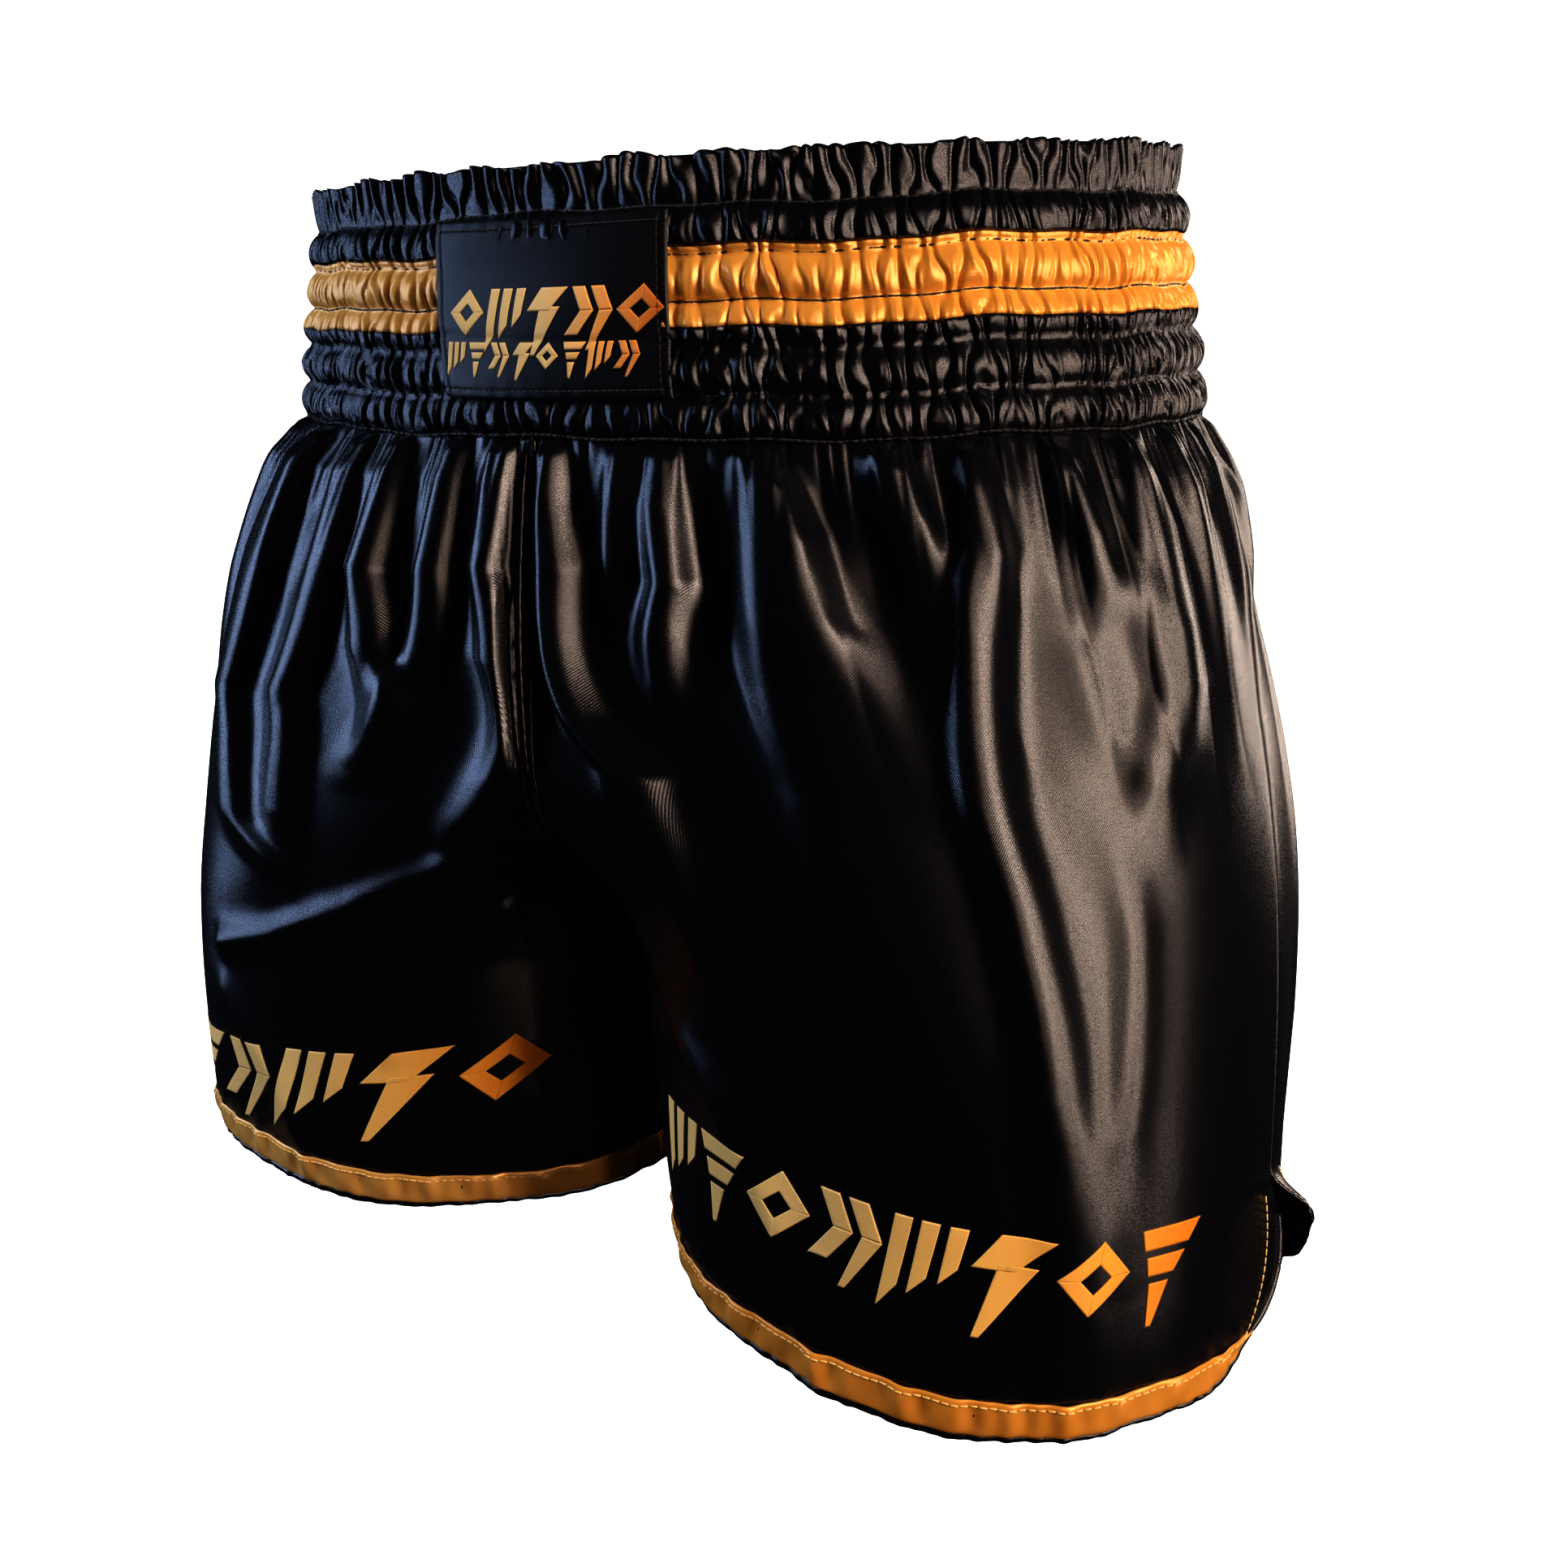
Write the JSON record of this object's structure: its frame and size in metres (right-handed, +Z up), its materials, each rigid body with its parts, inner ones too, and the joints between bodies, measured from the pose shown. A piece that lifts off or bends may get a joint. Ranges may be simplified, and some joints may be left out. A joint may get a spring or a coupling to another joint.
{
  "type": "boxing shorts",
  "caption": "Thai-style boxing shorts in black satin: wide shirred elastic waistband with a gold strip and front patch, full short legs, side slits and gold hem bands.",
  "frame": {"origin": "centre of the waistband at its mid-height, where the wearer's waist fills it", "axes": "+Z up, +X towards the wearer's left, -Y towards the front"},
  "size_m": [0.4744, 0.2304, 0.4008],
  "materials": {
    "black_satin": "satin weave polyester, glossy, with a fine diagonal twill",
    "gold_satin": "satin weave polyester, glossy, pale gold to orange",
    "black_binding": "folded satin binding, matt black at the edge",
    "elastic": "woven white elastic",
    "patch_satin": "smooth satin label with a topstitched turned edge"
  },
  "bodies": {
    "root": {"waist_top_strip": "black_satin", "waist_gold_strip": "gold_satin", "waist_lower_strip": "black_satin", "waist_facing": "black_satin", "elastic_row_1": "elastic", "elastic_row_2": "elastic", "elastic_row_3": "elastic", "elastic_row_4": "elastic", "elastic_row_5": "elastic", "front_patch": "patch_satin", "front_left_panel": "black_satin", "front_right_panel": "black_satin", "back_left_panel": "black_satin", "back_right_panel": "black_satin", "crotch_gusset": "black_satin", "front_rise_tape": "black_satin", "back_rise_tape": "black_satin", "front_left_hem_band": "gold_satin", "front_right_hem_band": "gold_satin", "back_left_hem_band": "gold_satin", "back_right_hem_band": "gold_satin", "front_left_edge_binding": "black_binding", "front_right_edge_binding": "black_binding", "back_left_edge_binding": "black_binding", "back_right_edge_binding": "black_binding", "front_left_slit_facing": "black_satin", "front_right_slit_facing": "black_satin", "back_left_slit_facing": "black_satin", "back_right_slit_facing": "black_satin"}
  },
  "joints": []
}
